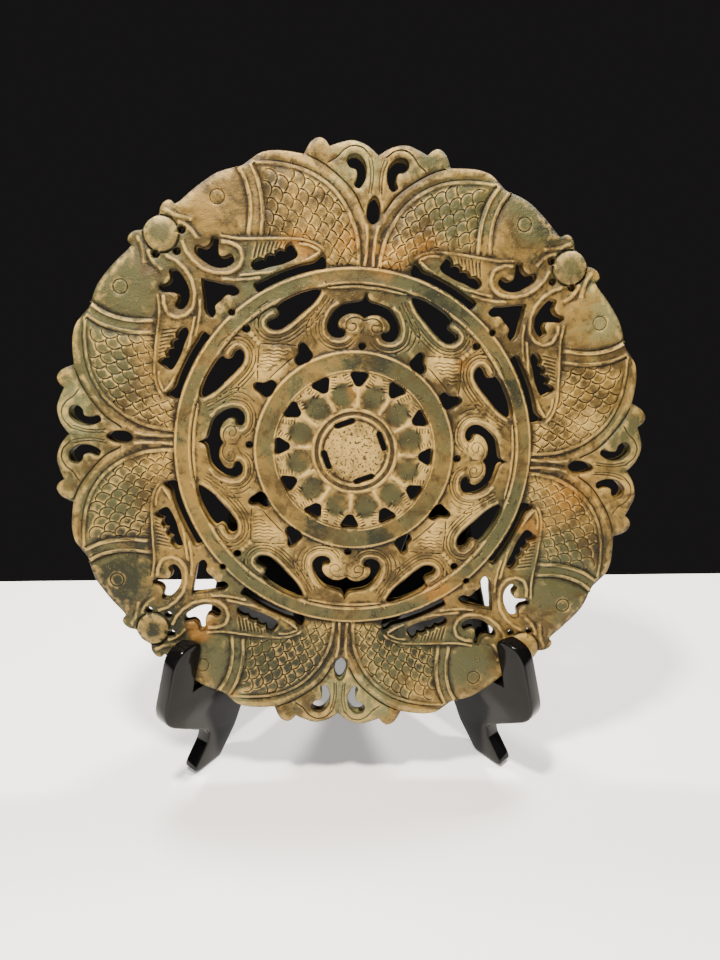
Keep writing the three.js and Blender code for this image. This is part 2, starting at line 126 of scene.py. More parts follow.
# Lines and outlines of the relief, in a half sector.
BACK_LINE = [
    (34, 612), (37, 650), (45, 700), (62, 745), (92, 797), (137, 845), (192, 879), (250, 898),
    (320, 906), (388, 905),
]
GILL_INNER = [(395, 898), (372, 853), (357, 800), (351, 750), (352, 692)]
GILL_OUTER = [(436, 889), (410, 846), (394, 795), (389, 745), (392, 688)]
BELLY_LINE = [
    (152, 655), (175, 669), (210, 677), (250, 679), (300, 677), (360, 672), (420, 668), (475, 672),
]
CREST_BAND = [(36, 790), (66, 838), (115, 882), (175, 921), (215, 937)]
CREST_LINE = [(28, 955), (50, 975), (80, 980), (108, 966), (130, 940), (152, 925)]
CREST_STRIPS = [
    [(12, 845), (10, 880), (12, 915), (20, 945)],
    [(21, 840), (19, 875), (21, 910), (30, 940)],
]
AXIS_STRIP = [(14, 615), (12, 650), (13, 700), (18, 738)]
LIP_UPPER = [(652, 741), (628, 729), (603, 722), (575, 717)]
LIP_LOWER = [(612, 706), (590, 697), (572, 684), (556, 664)]
CURL_BAND = [
    (474, 655), (445, 652), (418, 638), (408, 612), (416, 583), (440, 562), (480, 556), (525, 565),
    (559, 587), (585, 617), (600, 648),
]
FIN_EDGE = [(165, 642), (200, 618), (245, 593), (300, 573), (360, 561), (410, 553)]
FIN_TOP = [(165, 650), (195, 663), (225, 665)]
FIN_JOIN = [(350, 549), (390, 541), (430, 537), (465, 538)]
LEAF_RIM = [
    (142, 512), (158, 484), (190, 447), (225, 412), (252, 389), (280, 376), (308, 377), (328, 394),
    (331, 414), (318, 431), (302, 442),
]
BAT_RIM = [
    (47, 381), (58, 369), (80, 362), (108, 366), (129, 384), (134, 410), (129, 440), (115, 468),
    (92, 489),
]
VOLUTE = [
    (4, 438), (22, 446), (42, 444), (58, 430), (60, 414), (48, 402), (32, 404), (25, 415), (30, 426),
    (40, 425),
]
ARM_LINES = [
    [(135, 476), (152, 447), (168, 420), (174, 395), (166, 370), (152, 352)],
    [(146, 480), (166, 450), (182, 424), (189, 400), (186, 378)],
]
BRIDGE = [(0, 545), (40, 545), (90, 540), (125, 538), (143, 545)]
FAN_EDGE = [(214, 337), (250, 340), (290, 340), (336, 338)]
FAN_NECK = [(338, 338), (352, 352), (368, 368)]
FAN_FOOT = [(222, 303), (243, 285), (264, 264)]
FAN = [
    (337, 337), (280, 335), (226, 332), (228, 310), (250, 287), (270, 270), (287, 250), (310, 228),
    (332, 226), (335, 280),
]
BODY = BACK_LINE + [
    (362, 850), (350, 780), (350, 695), (250, 678), (175, 668), (145, 635), (140, 612), (80, 611),
]
HEAD = [
    (395, 690), (393, 745), (402, 800), (430, 865), (455, 888), (500, 872), (550, 835), (600, 790),
    (630, 757), (600, 722), (570, 700), (545, 670), (475, 668),
]
UNDER_CREST = [(170, 915), (110, 876), (60, 830), (30, 780)]
CREST = [
    (0, 970), (40, 995), (85, 1005), (130, 995), (187, 1005), (225, 975), (225, 945), *UNDER_CREST,
    (0, 730),
]
BACK_BAND = [
    (24, 640), (30, 700), (46, 750), (80, 800), (125, 852), (190, 888), (250, 906), (320, 914),
    (390, 912), (370, 940), (330, 952), (280, 952), (230, 945), *UNDER_CREST, (0, 720),
]

# Spacing of the mesh, as shares of RADIUS.
EDGE_STEP = 0.0075
LINE_STEP = 0.0085
BASE_STEP = 0.0108
BACK_STEP = 0.024
STIPPLE_STEP = 0.0055
SEAM_SNAP = 0.0016  # points this near to a half sector's side are put on it
POINT_ROOM = 0.0028  # between the points of different lines
EDGE_ROOM = 0.0034  # between a line's points and the edge of the stone
ROLLED = 0.0036  # the edge of the stone is rounded over this width
REACH = 1.03  # half the side of a square that holds the plate


# Curves

def evenly(points, step):
    """A line divided into equal steps of about this length."""
    lengths = np.hypot(*np.diff(points, axis=0).T)
    along = np.concatenate([[0.0], np.cumsum(lengths)])
    count = max(1, round(along[-1] / step))
    places = np.linspace(0.0, along[-1], count + 1)
    return np.stack([np.interp(places, along, points[:, k]) for k in (0, 1)], axis=1)


def bend(a, b, c, d, samples=10):
    """The stretch from b to c of a smooth curve through a, b, c and d."""
    ab, bc, cd = (math.sqrt(max(math.dist(p, q), 1e-9)) for p, q in ((a, b), (b, c), (c, d)))
    leave = c - b + bc * ((b - a) / ab - (c - a) / (ab + bc))
    arrive = c - b + bc * ((d - c) / cd - (d - b) / (bc + cd))
    t = np.linspace(0, 1, samples, endpoint=False)[:, None]
    return ((2 * t**3 - 3 * t**2 + 1) * b + (t**3 - 2 * t**2 + t) * leave
            + (3 * t**2 - 2 * t**3) * c + (t**3 - t**2) * arrive)


def curve(points, step, closed=False):
    """Even points along a smooth curve through a table's points, which keeps its marked corners."""
    sharp = [len(p) == 3 for p in points]
    knots = [np.array(p[:2]) / PER_RADIUS for p in points]
    if closed:
        first = sharp.index(True) if any(sharp) else 0
        knots = knots[first:] + knots[:first + 1]
        sharp = sharp[first:] + sharp[:first + 1]
    last = len(knots) - 1

    def beyond(i, j):
        k = 2 * i - j
        if closed and not sharp[i]:
            k = k % last
        elif sharp[i] or not 0 <= k <= last:
            return 2 * knots[i] - knots[j]
        return knots[k]

    runs, run = [], []
    for i in range(last):
        run.append(bend(beyond(i, i + 1), knots[i], knots[i + 1], beyond(i + 1, i)))
        if sharp[i + 1] or i + 1 == last:
            runs.append(evenly(np.vstack([*run, knots[i + 1]]), step))
            run = []
    line = np.vstack([r[:-1] for r in runs] + [runs[-1][-1:]])
    return line[:-1] if closed else line


def sideways(line, closed=False):
    """Unit vectors to the left of a line at each of its points."""
    if closed:
        along = np.roll(line, -1, axis=0) - np.roll(line, 1, axis=0)
    else:
        along = np.gradient(line, axis=0)
    along /= np.maximum(np.hypot(*along.T), 1e-9)[:, None]
    return np.stack([-along[:, 1], along[:, 0]], axis=1)


def circle(centre, radius, step=EDGE_STEP, from_deg=0.0, to_deg=360.0):
    """Points round a circle, or along an arc of it, from +x towards +y."""
    whole = to_deg - from_deg >= 360
    count = max(6, round(math.radians(to_deg - from_deg) * radius / step))
    angles = np.radians(np.linspace(from_deg, to_deg, count + (0 if whole else 1), endpoint=not whole))
    return np.array(centre) + radius * np.stack([np.cos(angles), np.sin(angles)], axis=1)


def arc_about_middle(radius, from_deg, to_deg, step):
    """An arc about the plate's middle; angles are measured from the crest axis."""
    return circle(MIDDLE, radius, step, 90 - to_deg, 90 - from_deg)[::-1]


def turning(angle):
    """Points of the plane times this matrix are turned anticlockwise."""
    cos, sin = math.cos(angle), math.sin(angle)
    return np.array([[cos, sin], [-sin, cos]])


def clockwise(x, y, angle):
    """A point turned clockwise about the plate's middle."""
    cos, sin = math.cos(angle), math.sin(angle)
    return x * cos + y * sin, y * cos - x * sin


def placed(points, sector):
    """A half sector's points where they lie on the plate."""
    side = -1 if sector % 2 else 1
    angle = math.pi / 2 * (sector // 2)
    cos, sin = math.cos(angle), math.sin(angle)
    x, y = side * points[:, 0], points[:, 1]
    return np.stack([cos * x - sin * y, sin * x + cos * y], axis=1)


def folded(points):
    """Points of the plate brought back into the one half sector."""
    radius = np.hypot(*points.T)
    angle = np.arctan2(points[:, 0], points[:, 1])
    angle = np.abs((angle + math.pi / 4) % (math.pi / 2) - math.pi / 4)
    return np.stack([radius * np.sin(angle), radius * np.cos(angle)], axis=1)


def inside(points, polygon):
    """Which points lie in a closed polygon."""
    at_once = 4000
    result = np.zeros(len(points), bool)
    low, high = polygon.min(0), polygon.max(0)
    near = np.flatnonzero(np.all((points >= low) & (points <= high), axis=1))
    (ax, ay), (bx, by) = polygon.T, np.roll(polygon, -1, axis=0).T
    for some in np.array_split(near, len(near) // at_once + 1):
        x, y = points[some, 0, None], points[some, 1, None]
        spans = (ay > y) != (by > y)
        cut = ax + (y - ay) * (bx - ax) / np.where(by == ay, 1e-12, by - ay)
        result[some] = np.count_nonzero(spans & (x < cut), axis=1) % 2 == 1
    return result


def distance_to(points, line, closed=False):
    """Distance from each point to a line of straight stretches."""
    starts, ends = (line, np.roll(line, -1, axis=0)) if closed else (line[:-1], line[1:])
    best = np.full(len(points), np.inf)
    for a, b in zip(starts, ends):
        along = b - a
        t = np.clip((points - a) @ along / max(along @ along, 1e-12), 0, 1)
        best = np.minimum(best, np.hypot(*(points - a - t[:, None] * along).T))
    return best


def well_within(line, outline, room):
    """The points of a line that are inside an outline and this far from it."""
    return line[inside(line, outline) & (distance_to(line, outline, closed=True) > room)]


# Openings

def mirrored_over_crest(half):
    return half + [(-p[0], *p[1:]) for p in reversed(half[1:-1])]


def mirrored_over_pearl(half):
    return half + [(p[1], p[0], *p[2:]) for p in reversed(half[1:-1])]


def slit():
    low, high = RING_SLIT["from"], RING_SLIT["to"]
    inner = arc_about_middle(RING_SLIT["inner"], low, high, RING_SLIT["step"])
    outer = arc_about_middle(RING_SLIT["outer"], low + 3, high, RING_SLIT["step"])[::-1]
    return [*map(tuple, inner), *map(tuple, outer), RING_SLIT["head"]]


def petal_hole_beside():
    """The hole between two petals that lies off the crest axis."""
    return [clockwise(x, y, PETAL_TURN) for x, y in mirrored_over_crest(PETAL_HOLE_HALF)]


def slot_loop(index):
    """One of the slots round the dish, in the plate's plane."""
    length, width = SLOT["half_length"] - SLOT["half_width"], SLOT["half_width"]
    right = circle((length, SLOT["radius"]), width, EDGE_STEP / 2, -90, 90)
    left = circle((-length, SLOT["radius"]), width, EDGE_STEP / 2, 90, 270)
    angle = math.radians(SLOT["first"] + 360 / SLOT["count"] * index)
    return evenly(np.vstack([right, left, right[:1]]) @ turning(angle), EDGE_STEP)[:-1]


# Each opening's loop in a half sector, and the half sectors that have it.
ALL = range(8)
ONE_PER_AXIS = (0, 2, 4, 6)
OPENINGS = [(curve(points, EDGE_STEP, closed=True), ALL) for points in (
    CREST_LOOP, MOUTH_CURL, FIN_COMB, LEAF, SMALL_HEART, slit(), petal_hole_beside())]
OPENINGS += [(curve(points, EDGE_STEP, closed=True), ONE_PER_AXIS) for points in (
    *map(mirrored_over_crest, (BAT_HALF, OVAL_HALF, CREST_PIN_HALF, PETAL_HOLE_HALF)),
    mirrored_over_pearl(HEART_HALF))]
OPENINGS += [(circle(at, radius, EDGE_STEP * 0.7), ALL) for at, radius in PINHOLES]
OPENINGS += [(circle(at, radius, EDGE_STEP * 0.7), ONE_PER_AXIS) for at, radius in PEARL_PINHOLES]
SLOTS = [slot_loop(i) for i in range(SLOT["count"])]
RIM_HALF = curve(RIM, EDGE_STEP)


def rim_loop():
    """The whole outline, walked once round."""
    parts = []
    for axis in (0, 3, 2, 1):
        parts += [placed(RIM_HALF[1:-1][::-1], 2 * axis + 1), placed(RIM_HALF, 2 * axis)]
    return np.vstack(parts)


def in_stone(points):
    """Which points are in stone, not in air."""
    half = folded(points)
    stone = inside(half, np.vstack([[(-0.01, -0.02), (-0.01, RIM_HALF[0, 1])], RIM_HALF, [(0.72, 0.7)]]))
    for loop, _ in OPENINGS:
        stone &= ~inside(half, loop)
    for loop in SLOTS:
        stone &= ~inside(points, loop)
    return stone


# Points of the carved surface

class Surface:
    """Points that the front's mesh runs through, each with its own lift in mm and its wear and painted
    light: cream for rubbed and lit edges, dark for dirt and painted shade in cuts.
    """

    def __init__(self, edges):
        self.edges = edges  # points that others keep clear of
        self.at = np.empty((0, 2))
        self.lift = np.empty(0)
        self.wear_and_painted_light = np.empty(0)

    def add(self, at, lift, wear_and_painted_light=0.0, room=POINT_ROOM, edge_room=EDGE_ROOM):
        """Adds points, apart from those closer than `room` to earlier ones."""
        at = np.asarray(at)
        lift = np.broadcast_to(lift, len(at))
        wear_and_painted_light = np.broadcast_to(wear_and_painted_light, len(at))
        keep = clear_of(at, self.edges, edge_room) & clear_of(at, self.at, room)
        self.at = np.vstack([self.at, at[keep]])
        self.lift = np.concatenate([self.lift, lift[keep]])
        self.wear_and_painted_light = np.concatenate([self.wear_and_painted_light, wear_and_painted_light[keep]])

    def rows(self, line, profile, closed=False, **room):
        """Adds rows of points along a line; profile lists offset, lift, and wear and painted light of each
        row.
        """
        left = sideways(line, closed)
        bands = [(line + left * offset, np.full(len(line), lift), np.full(len(line), wear_and_painted_light))
                 for offset, lift, wear_and_painted_light in profile]
        self.add(*(np.concatenate(part) for part in zip(*bands)), **room)

    def leave_only(self, mask):
        self.at, self.lift, self.wear_and_painted_light = self.at[mask], self.lift[mask], self.wear_and_painted_light[mask]


def clear_of(points, others, room):
    if not len(others) or not len(points):
        return np.ones(len(points), bool)
    tree = kdtree.KDTree(len(others))
    for i, (x, y) in enumerate(others):
        tree.insert((x, y, 0), i)
    tree.balance()
    return np.array([tree.find((x, y, 0))[2] > room for x, y in points])


def ridge(width, height, wear_and_painted_light=1.0):
    """Rows of a rounded ridge, its top painted cream as worn and lit."""
    return [(0, height, wear_and_painted_light), (-width / 4, height * 0.8, wear_and_painted_light * 0.8), (width / 4, height * 0.8, wear_and_painted_light * 0.8),
            (-width / 2, 0, 0), (width / 2, 0, 0)]


def groove(width, depth, lip=0.06):
    """Rows of a cut line, painted dark as dirt and shade, with a small burr at each side painted a little
    light.
    """
    return [(0, -depth, -1.0), (-width / 2, lip, 0.25), (width / 2, lip, 0.25)]


# Each line with its width and its height or depth in mm.
RIDGES = [
    (GILL_INNER, 0.0165, 0.8), (GILL_OUTER, 0.0165, 0.8), (BACK_LINE, 0.015, 0.6), (CURL_BAND, 0.016, 0.6),
    (FIN_EDGE, 0.012, 0.6), (LIP_UPPER, 0.017, 0.45), (LIP_LOWER, 0.017, 0.4), (BELLY_LINE, 0.011, 0.45),
    (LEAF_RIM, 0.013, 0.6), (BAT_RIM, 0.013, 0.55), (BRIDGE, 0.013, 0.5), (FAN_NECK, 0.02, 0.5),
    (FIN_JOIN, 0.012, 0.5), (FIN_TOP, 0.011, 0.4), (AXIS_STRIP, 0.012, 0.45),
]
GROOVES = [
    (FAN_EDGE, 0.007, 0.35), (FAN_FOOT, 0.007, 0.3), (CREST_LINE, 0.007, 0.4), (CREST_BAND, 0.009, 0.45),
    *((line, 0.006, 0.25) for line in CREST_STRIPS), (VOLUTE, 0.006, 0.3),
    *((line, 0.006, 0.3) for line in ARM_LINES),
]
# Grooves beside another line: how far off, and how deep.
BESIDE = [(LEAF_RIM, (-0.0155, -0.0265, -0.0375), 0.3), (BAT_RIM[:-2], (-0.014, -0.024), 0.25)]
# Rows and spread in degrees, the rest as shares of RADIUS.
SCALES = {"first_row": 2.6, "row_pitch": 1.72, "rows": 15, "inner": 0.618, "across": 0.0555, "columns": 6,
          "size": 0.0278, "spread": 76}


def scales():
    """Middle of each scale and the direction of its free edge, in staggered rows from the tail on."""
    for row in range(SCALES["rows"]):
        angle = math.radians(SCALES["first_row"] + row * SCALES["row_pitch"])
        for k in range(SCALES["columns"]):
            radius = SCALES["inner"] + (k + 0.5 * (row % 2)) * SCALES["across"]
            yield radius * np.array([math.sin(angle), math.cos(angle)]), math.pi - angle


def scale_arcs():
    """The free edges of the scales: arcs that face the tail."""
    body = curve(BODY, LINE_STEP, closed=True)
    for centre, tail in scales():
        tilt, spread = math.degrees(tail), SCALES["spread"]
        arc = circle(centre, SCALES["size"], LINE_STEP * 0.85, tilt - spread, tilt + spread)
        arc = well_within(arc, body, 0.008)
        if len(arc) > 2:
            yield arc, centre


def tiled(points):
    """How far each point is out on the scale that covers it, from 0 to 1 at the free edge."""
    out = np.zeros(len(points))
    for centre, tail in scales():
        away = points - centre
        reach = np.hypot(*away.T) / SCALES["size"]
        covered = (reach < 1) & (away @ np.array([math.cos(tail), math.sin(tail)]) > 0)
        out[covered] = reach[covered]
    return out


def offset_line(points, offset):
    line = curve(points, LINE_STEP)
    return line + sideways(line) * offset


def half_sector_surface():
    surface = Surface(np.vstack([loop for loop, _ in OPENINGS] + [RIM_HALF]))

    def ring(radius, profile):
        surface.rows(arc_about_middle(radius, 0, 45, LINE_STEP), profile)

    for loop, _ in OPENINGS:
        outward = -1 if np.cross(loop, np.roll(loop, -1, axis=0)).sum() > 0 else 1
        surface.rows(loop, [(outward * ROLLED, -0.10, 0.55)], closed=True, edge_room=ROLLED * 0.8)
    surface.rows(RIM_HALF, [(-ROLLED, -0.12, 0.6)], edge_room=ROLLED * 0.8)
    # Each ring's edges get a dark foot and a cream lip: partly dirt and wear, partly painted shade and
    # highlight.
    for inner, outer in (OUTER_RING, INNER_RING):
        for radius, sign in ((inner, 1), (outer, -1)):
            ring(radius, [(-sign * 0.0022, 0, -0.6), (sign * 0.0022, 0.05, 0.6),
                          (sign * 0.0065, 0.32, 0.9), (sign * 0.0115, 0, 0.1)])
    ring(BOSS_RINGS[0], ridge(0.014, 0.6))
    ring(BOSS_RINGS[1], ridge(0.011, 0.5))
    ring(DISH, [(0, -0.25, -0.8)])
    for turn in (0, PETAL_TURN):
        crease = np.outer(np.linspace(0.151, 0.216, 9), [math.sin(turn), math.cos(turn)])
        surface.rows(crease, ridge(0.015, 0.5, 0.9))
    for points, width, height in RIDGES:
        surface.rows(curve(points, LINE_STEP), ridge(width, height, 0.8))
    for points, width, depth in GROOVES:
        surface.rows(curve(points, LINE_STEP), groove(width, depth))
    for points, offsets, depth in BESIDE:
        for offset in offsets:
            surface.rows(offset_line(points, offset), groove(0.006, depth))
    surface.rows(circle(EYE, EYE_RADIUS, LINE_STEP * 0.8), groove(0.006, 0.35), closed=True)
    surface.rows(circle(PEARL, PEARL_RADIUS + 0.001, LINE_STEP, 45, 225), groove(0.010, 0.5))
    # Each scale's free edge is a cut painted dark, partly dirt, partly painted shade, with a lip outside it
    # painted cream as a lit wall, a painted highlight.
    for arc, centre in scale_arcs():
        away = (arc - centre) / np.hypot(*(arc - centre).T)[:, None]
        count = len(arc)
        surface.add(np.vstack([arc, arc - away * 0.0032, arc + away * 0.0026]),
                    np.repeat([-0.46, 0.02, 0.10], count), np.repeat([-1.0, 0.0, 0.8], count), room=0.0026)
    for start, end in tooth_cuts():
        surface.rows(evenly(np.array([start, end]), LINE_STEP), [(0, -0.3, -0.8), (0.0045, 0.1, 0.5)],
                     room=0.0024)
    return surface


def tooth_cuts():
    """Ends of short cuts: a row along the comb, and hatching on the petals' sides."""
    first, pitch, count = 0.276, 0.0125, 8
    for k in range(count):
        x = first + pitch * k
        yield (x, 0.664 - 0.10 * (x - first)), (x + 0.008, 0.648 - 0.42 * (x - first))
    for side in (-1, 1):
        for k in range(5):
            along, across = 0.226 + 0.0082 * k, side * (0.022 + 0.0045 * k)
            ends = (across, along), (across + side * 0.0105, along - 0.005)
            for turn in (0, PETAL_TURN):
                yield tuple(clockwise(x, y, turn) for x, y in ends)


def fan_strokes():
    """Wavy cuts across each of the four fan tails, level across the plate."""
    fan = curve(FAN, LINE_STEP, closed=True)
    for axis in range(4):
        whole = placed(fan, 2 * axis)
        low, high = whole.min(0), whole.max(0)
        for y in np.arange(low[1] + 0.014, high[1] - 0.008, 0.0115):
            xs = np.arange(low[0], high[0], LINE_STEP)
            line = np.stack([xs, y + 0.0022 * np.sin(xs * 210 + 9 * y)], axis=1)
            line = well_within(line, whole, 0.009)
            if len(line) > 2:
                yield line


def plate_surface():
    """The half sector's points repeated round the plate, and what isn't repeated."""
    half = half_sector_surface()
    at = half.at.copy()
    fits = (at[:, 0] > -SEAM_SNAP) & (at[:, 1] - at[:, 0] > -SEAM_SNAP * math.sqrt(2))
    at[np.abs(at[:, 0]) < SEAM_SNAP, 0] = 0
    diagonal = np.abs(at[:, 1] - at[:, 0]) < SEAM_SNAP * math.sqrt(2)
    at[diagonal] = at[diagonal].mean(axis=1)[:, None]
    at, lift, wear_and_painted_light = at[fits], half.lift[fits], half.wear_and_painted_light[fits]
    openings = [placed(loop, s) for loop, sectors in OPENINGS for s in sectors]
    surface = Surface(np.vstack(openings + SLOTS + [rim_loop()]))
    whole = np.vstack([placed(at, s) for s in ALL])
    _, first = np.unique(np.round(whole, 5), axis=0, return_index=True)
    first.sort()
    surface.at = whole[first]
    surface.lift = np.tile(lift, len(ALL))[first]
    surface.wear_and_painted_light = np.tile(wear_and_painted_light, len(ALL))[first]
    surface.leave_only(clear_of(surface.at, np.vstack(SLOTS), EDGE_ROOM))
    for loop in SLOTS:
        surface.rows(loop, [(-ROLLED, -0.1, 0.4)], closed=True, room=0.002, edge_room=0.0028)
    for line in fan_strokes():
        surface.rows(line, [(0, -0.22, -0.8), (0.0042, 0.16, 0.6)], room=0.0024)
    rng = np.random.default_rng(5)
    dish = lattice(STIPPLE_STEP)
    dish = dish[np.hypot(*dish.T) < DISH - 0.006] + rng.uniform(-0.0012, 0.0012, 2)
    pits = rng.random(len(dish)) ** 3
    surface.add(dish, 0.06 - 0.34 * pits, 0.1 - 1.1 * pits, room=STIPPLE_STEP * 0.5)
    base = lattice(BASE_STEP)
    base = base[np.hypot(*base.T) > DISH - 0.008]
    surface.add(base, 0, 0, room=BASE_STEP * 0.58, edge_room=BASE_STEP * 0.58)
    surface.leave_only(in_stone(surface.at))
    return surface


def lattice(step):
    """A triangular lattice of points over the stone."""
    across = np.arange(-REACH, REACH, step)
    rows = np.arange(-REACH, REACH, step * math.sqrt(3) / 2)
    points = np.vstack([np.stack([across + step / 2 * (i % 2), np.full(len(across), y)], axis=1)
                        for i, y in enumerate(rows)])
    points = points[np.hypot(*points.T) < REACH]
    return points[in_stone(points)]


# Heights of the relief

def swell(points, outline, width):
    """A cushion on an outline: 0 at its edge and 1 from `width` inwards."""
    line = curve(outline, 0.012, closed=True)
    result = np.zeros(len(points))
    within = inside(points, line)
    depth = np.clip(distance_to(points[within], line, closed=True) / width, 0, 1)
    result[within] = 1 - (1 - depth) ** 2
    return result


def knob(points, centre, radius):
    away = np.hypot(*(points - centre).T) / radius
    return np.sqrt(np.clip(1 - away**2, 0, 1))


def step_up(value, at, width=0.003):
    t = np.clip((value - at) / width + 0.5, 0, 1)
    return t * t * (3 - 2 * t)


def on_ring(radius, ring, inset=0.0):
    """1 on a raised ring, 0 off it."""
    return step_up(radius, ring[0] + inset) * (1 - step_up(radius, ring[1] - inset))


def into_petal(points):
    """0 on the crease between two petals, 1 on a petal's middle line."""
    turn, half = np.degrees(np.arctan2(points[:, 0], points[:, 1])), 180 / PETALS
    return np.abs((turn + half) % (2 * half) - half) / half


# Outlines and knobs of the relief, each with its height in mm and the width of its slope.
CUSHIONS = [
    (HEAD, 1.35, 0.055), (BACK_BAND, 0.6, 0.016), (CREST, 0.75, 0.03), (FAN, 0.75, 0.03),
    (GILL_INNER + GILL_OUTER[::-1], 0.8, 0.016),
]
KNOBS = [(PEARL, 2.1, PEARL_RADIUS), ((0.447, 0.468), 0.5, 0.02), ((0.034, 0.425), 0.7, 0.034)]


def relief(points):
    """Height of the carving above the slab's ground, in mm, before its lines."""
    half = folded(points)
    radius = np.hypot(*half.T)
    height = np.full(len(points), 0.25)
    body = swell(half, BODY, 0.055)
    height += 1.5 * body
    on_body = body > 0.02
    height[on_body] += 0.30 * tiled(half[on_body]) ** 2 * np.clip(body[on_body] * 3, 0, 1)
    for outline, rise, width in CUSHIONS:
        height += rise * swell(half, outline, width)
    for centre, rise, width in KNOBS:
        height += rise * knob(half, centre, width)
    for ring in (OUTER_RING, INNER_RING):
        band = on_ring(radius, ring)
        height = height * (1 - band) + 0.85 * band
    flower = 1 - step_up(radius, INNER_RING[0])
    end = np.clip((radius - 0.222) / 0.022, 0, 1)
    dished = 0.30 + 0.65 * (1 - into_petal(half)) ** 2 + 0.5 * end**2 * (3 - 2 * end)
    height = height * (1 - flower) + dished * flower
    boss = 1 - step_up(radius, BOSS_RINGS[0] + 0.006)
    return height * (1 - boss) + (0.5 + 0.35 * (1 - (radius / DISH) ** 2)) * boss


def waviness(points, seed, scale, count=10):
    """A smooth random field, about -1 to 1."""
    rng = np.random.default_rng(seed)
    field = np.zeros(len(points))
    for _ in range(count):
        direction = rng.normal(size=2) * scale
        field += np.sin(points @ direction + rng.uniform(0, 2 * math.pi))
    return field / math.sqrt(count)


# The plate's mesh

def sides(loop):
    return zip(loop, loop[1:] + loop[:1])


def triangles(points, loops):
    """Triangles over the stone between points; loops are lists of point numbers that stay edges."""
    edges = [side for loop in loops for side in sides(loop)]
    result = delaunay_2d_cdt([Vector(p) for p in points.tolist()], edges, [], 0, 1e-7)
    first = [originals[0] if originals else -1 for originals in result[3]]
    faces = np.array([[first[i] for i in face] for face in result[2] if len(face) == 3])
    faces = faces[(faces >= 0).all(axis=1)]
    faces = faces[in_stone(points[faces].mean(axis=1))]
    a, b, c = (points[faces[:, k]] for k in range(3))
    flipped = np.cross(b - a, c - a) < 0
    faces[flipped] = faces[flipped][:, ::-1]
    return faces


def hollows(height, faces, rounds):
    """How far each point lies below what is around it, in mm."""
    edges = np.vstack([faces[:, [0, 1]], faces[:, [1, 2]], faces[:, [2, 0]]])
    edges = np.vstack([edges, edges[:, ::-1]])
    count = np.maximum(np.bincount(edges[:, 0], minlength=len(height)), 1)
    mean = height
    for _ in range(rounds):
        mean = np.bincount(edges[:, 0], mean[edges[:, 1]], minlength=len(height)) / count
    return mean - height


def hand_made(points):
    """Shifts the pattern a little, most near the rim, as a carver's hand does."""
    radius = np.hypot(*points.T)
    angle = np.arctan2(points[:, 0], points[:, 1])
    turn = np.radians(0.55 * np.sin(angle + 0.4) + 0.35 * np.sin(3 * angle + 1.0)) * np.clip(radius, 0, 1)
    angle = angle + turn
    warped = radius[:, None] * np.stack([np.sin(angle), np.cos(angle)], axis=1)
    calm = np.clip(1.25 - radius, 0.1, 1)[:, None]
    shift = np.stack([waviness(points, 3, 9), waviness(points, 4, 9)], axis=1)
    return warped + 0.0016 * shift * calm


def plate_matrix():
    """The plate's own frame, at its back face's middle: x and y in that face, z towards the front."""
    cos, sin = math.cos(LEAN), math.sin(LEAN)
    corners = np.array([v.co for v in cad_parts["jade_plate"].data.vertices])
    back = (corners @ np.array([0, -cos, sin])).min()
    up = LIFT + RADIUS * cos
    middle = Vector((0, (sin * up - back) / cos, up))
    return Matrix.Translation(middle) @ Matrix.Rotation(math.pi / 2 - LEAN, 4, "X")


def new_mesh(name, points, faces):
    mesh = bpy.data.meshes.new(name)
    mesh.from_pydata(points, [], faces)
    return mesh


def new_object(name, data):
    piece = bpy.data.objects.new(name, data)
    bpy.context.scene.collection.objects.link(piece)
    return piece


def outwards(loop):
    """Directions out of the stone at each point of a loop."""
    around = sideways(loop, closed=True)
    into_stone = in_stone(loop + around * 0.002)
    return np.where(into_stone[:, None], -around, around)


def walls(numbers, faces, levels):
    """Triangles along the stone's edges, between the levels' copies of the loops."""
    solid = {(face[k - 1], face[k]) for face in faces for k in range(3)}
    result = []
    for ids in numbers:
        for a, b in sides(ids):
            if (a, b) not in solid:
                a, b = b, a
            for upper, lower in zip(levels, levels[1:]):
                result += [(b + upper, a + upper, a + lower), (b + upper, a + lower, b + lower)]
    return result


